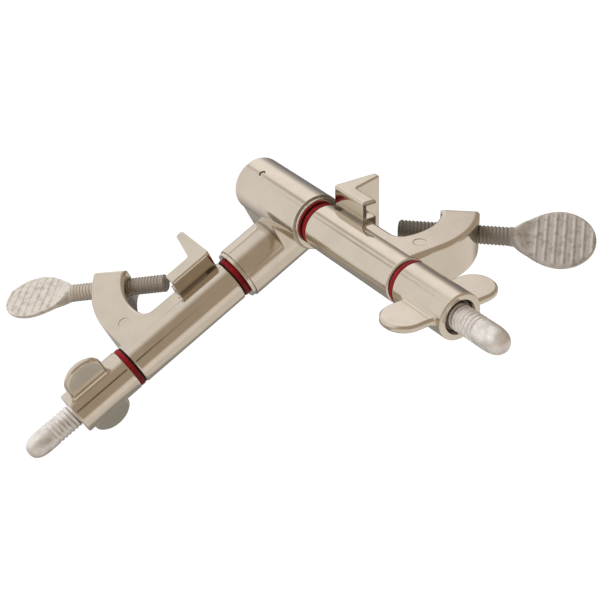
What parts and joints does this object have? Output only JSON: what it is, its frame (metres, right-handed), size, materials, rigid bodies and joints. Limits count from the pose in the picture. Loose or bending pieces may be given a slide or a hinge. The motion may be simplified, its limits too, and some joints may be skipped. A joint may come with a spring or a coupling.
{
  "type": "boss head clamp",
  "caption": "Clamp that joins two crossing laboratory rods: two swivelling jaws on a cast hub, each locked by a wing nut and closed on its rod by a thumbscrew.",
  "frame": {"origin": "centre of jaw A's rod seat, on the axis of the rod that it grips", "axes": "+Z along that rod, +X along the first stud towards its wing nut, +Y from the stud towards the rod"},
  "size_m": [0.1953, 0.1764, 0.0913],
  "materials": {
    "nickel": "polished",
    "steel": "satin",
    "dark_steel": "satin",
    "red_washer": "satin",
    "black_ring": "matte"
  },
  "bodies": {
    "jaw_a": {"jaw_a": "nickel"},
    "hub": {"hub_casting": "nickel", "stud_a": "steel", "stud_b": "steel", "stud_pin_a": "steel", "stud_pin_b": "steel", "inner_ring_a": "black_ring", "inner_washer_a": "red_washer", "inner_ring_b": "black_ring", "inner_washer_b": "red_washer"},
    "jaw_b": {"jaw_b": "nickel"},
    "thumbscrew_a": {"thumbscrew_a": "dark_steel"},
    "thumbscrew_b": {"thumbscrew_b": "dark_steel"},
    "washers_a": {"outer_ring_a": "black_ring", "outer_washer_a": "red_washer"},
    "washers_b": {"outer_ring_b": "black_ring", "outer_washer_b": "red_washer"},
    "wing_nut_a": {"wing_nut_a": "nickel"},
    "wing_nut_b": {"wing_nut_b": "nickel"}
  },
  "joints": [
    {"name": "swivel_a", "type": "hinge", "parent": "jaw_a", "child": "hub", "pos_m": [0, -0.01505, 0], "axis": [1, 0, 0], "continuous": true},
    {"name": "swivel_b", "type": "hinge", "parent": "hub", "child": "jaw_b", "pos_m": [-0.0433, -0.04669, -0.0341], "axis": [0, -0.9011, -0.4337], "continuous": true},
    {"name": "screw_a_travel", "type": "slide", "parent": "jaw_a", "child": "thumbscrew_a", "axis": [0.7071, 0.7071, 0], "range_m": [-0.009, 0.012]},
    {"name": "screw_b_travel", "type": "slide", "parent": "jaw_b", "child": "thumbscrew_b", "axis": [-0.699, -0.6835, -0.2103], "range_m": [-0.009, 0.012]},
    {"name": "nut_a_travel", "type": "slide", "parent": "hub", "child": "washers_a", "axis": [1, 0, 0], "range_m": [0, 0.012]},
    {"name": "nut_a_turn", "type": "hinge", "parent": "washers_a", "child": "wing_nut_a", "pos_m": [0, -0.01505, 0], "axis": [1, 0, 0], "range_deg": [0, 2700]},
    {"name": "nut_b_travel", "type": "slide", "parent": "hub", "child": "washers_b", "axis": [0, -0.9011, -0.4337], "range_m": [0, 0.012]},
    {"name": "nut_b_turn", "type": "hinge", "parent": "washers_b", "child": "wing_nut_b", "pos_m": [-0.0433, -0.04669, -0.0341], "axis": [0, -0.9011, -0.4337], "range_deg": [0, 2700]}
  ],
  "couplings": [
    {"joint": "nut_a_travel", "follows": "nut_a_turn", "m_per_rad": 0.00025465},
    {"joint": "nut_b_travel", "follows": "nut_b_turn", "m_per_rad": 0.00025465}
  ]
}
